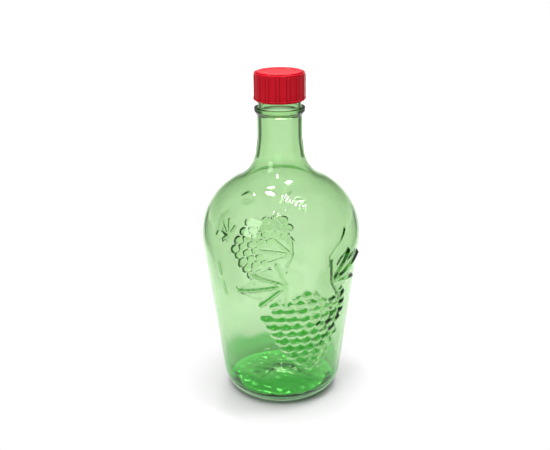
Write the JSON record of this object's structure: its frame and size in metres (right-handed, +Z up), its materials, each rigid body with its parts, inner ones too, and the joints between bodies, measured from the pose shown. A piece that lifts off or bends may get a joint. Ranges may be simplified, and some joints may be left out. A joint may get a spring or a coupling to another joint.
{
  "type": "glass carboy",
  "caption": "Round-shouldered glass carboy with a tapered body, a moulded vine in relief, a narrow threaded neck and a ribbed screw cap with a sealing disc.",
  "frame": {"origin": "centre of the base, on the surface that the bottle stands on", "axes": "+Z up along the bottle's axis, -Y through the middle of the front bunch of grapes, the mould joints at +X and -X"},
  "size_m": [0.182, 0.182, 0.38],
  "materials": {
    "green_glass": "clear bottle-green glass, fire-polished, with a moulded relief",
    "cap_plastic": "semi-gloss injection-moulded red plastic",
    "liner_foam": "soft white foamed sealing disc"
  },
  "bodies": {
    "bottle": {"bottle": "green_glass"},
    "liner": {"cap_liner": "liner_foam"},
    "cap": {"cap": "cap_plastic"}
  },
  "joints": [
    {"name": "cap_rise", "type": "slide", "parent": "bottle", "child": "liner", "axis": [0, 0, 1], "range_m": [0, 0.048]},
    {"name": "cap_turn", "type": "hinge", "parent": "liner", "child": "cap", "pos_m": [0, 0, 0.36], "axis": [0, 0, 1], "range_deg": [0, 1440]}
  ],
  "couplings": [
    {"joint": "cap_rise", "follows": "cap_turn", "m_per_rad": 0.0019099}
  ]
}
